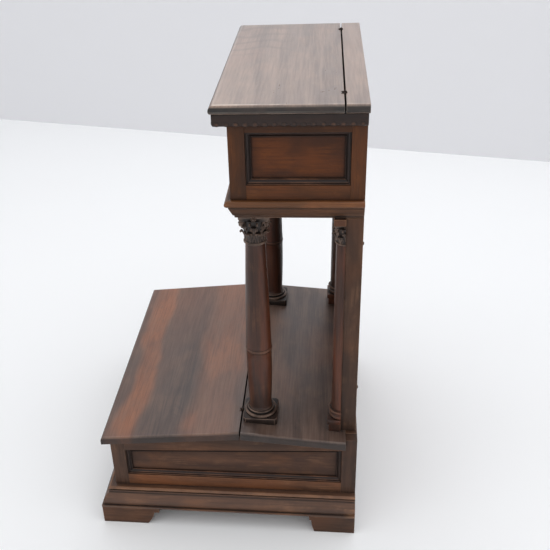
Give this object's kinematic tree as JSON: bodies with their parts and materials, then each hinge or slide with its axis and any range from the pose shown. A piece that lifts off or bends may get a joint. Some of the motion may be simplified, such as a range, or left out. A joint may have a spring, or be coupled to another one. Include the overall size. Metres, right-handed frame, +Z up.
{
  "type": "kneeling stand",
  "caption": "Old dark wood kneeling stand: low chest with a hinged sloping kneeling board, turned front columns, half columns on back posts and a hinged-lid desk box.",
  "frame": {"origin": "on the floor under the middle of the plinth", "axes": "+Z up, X across the width, -Y the front where a person kneels, +Y the back"},
  "size_m": [0.592, 0.512, 0.8784],
  "materials": {
    "frame_wood": "old dark reddish-brown varnish, worn paler along the edges",
    "moulding_wood": "dark varnish with rubbed highlights",
    "kneeler_top_wood": "mid-brown board, grain across the width, dull wax",
    "desk_top_wood": "mid-brown lid with a soft sheen and fine scratches",
    "column_wood": "very dark stained turned wood",
    "inner_wood": "plain unvarnished board",
    "iron": "dark forged iron"
  },
  "bodies": {
    "stand": {"back_panel": "inner_wood", "back_panel_nails": "iron", "back_post_left": "frame_wood", "back_post_right": "frame_wood", "bead_strip_front": "moulding_wood", "bead_strip_left": "moulding_wood", "bead_strip_right": "moulding_wood", "chest_back_board": "inner_wood", "chest_bottom_board": "inner_wood", "chest_fixed_top": "kneeler_top_wood", "chest_frame_left": "frame_wood", "chest_frame_right": "frame_wood", "chest_front_frame": "frame_wood", "chest_front_panel": "frame_wood", "chest_front_panel_moulding": "moulding_wood", "chest_panel_left": "frame_wood", "chest_panel_moulding_left": "moulding_wood", "chest_panel_moulding_right": "moulding_wood", "chest_panel_right": "frame_wood", "chest_rear_rail": "inner_wood", "column_base_left": "column_wood", "column_base_right": "column_wood", "column_capital_left": "column_wood", "column_capital_right": "column_wood", "column_shaft_left": "column_wood", "column_shaft_right": "column_wood", "cornice_moulding_front": "moulding_wood", "cornice_moulding_left": "moulding_wood", "cornice_moulding_right": "moulding_wood", "desk_back_board": "inner_wood", "desk_bottom_board": "inner_wood", "desk_fixed_strip": "desk_top_wood", "desk_frame_left": "frame_wood", "desk_frame_right": "frame_wood", "desk_front_frame": "frame_wood", "desk_front_panel": "frame_wood", "desk_front_panel_moulding": "moulding_wood", "desk_hinge_eyes": "iron", "desk_panel_left": "frame_wood", "desk_panel_moulding_left": "moulding_wood", "desk_panel_moulding_right": "moulding_wood", "desk_panel_right": "frame_wood", "foot_front_left": "moulding_wood", "foot_front_right": "moulding_wood", "foot_rear_left": "moulding_wood", "foot_rear_right": "moulding_wood", "half_column_blocks": "column_wood", "half_column_capital_left": "column_wood", "half_column_capital_right": "column_wood", "half_column_imposts": "column_wood", "half_column_left": "column_wood", "half_column_right": "column_wood", "kneeler_hinge_eyes": "iron", "plinth_moulding_front": "moulding_wood", "plinth_moulding_left": "moulding_wood", "plinth_moulding_right": "moulding_wood"},
    "kneeler_lid": {"kneeler_lid": "kneeler_top_wood", "kneeler_hinge_loops": "iron"},
    "desk_lid": {"desk_lid": "desk_top_wood", "desk_hinge_loops": "iron"}
  },
  "joints": [
    {"name": "kneeler_lid_hinge", "type": "hinge", "parent": "stand", "child": "kneeler_lid", "pos_m": [0, 0.033, 0.2365], "axis": [-1, 0, 0], "range_deg": [0, 97]},
    {"name": "desk_lid_hinge", "type": "hinge", "parent": "stand", "child": "desk_lid", "pos_m": [0, 0.2175, 0.875], "axis": [-1, 0, 0], "range_deg": [0, 105]}
  ]
}
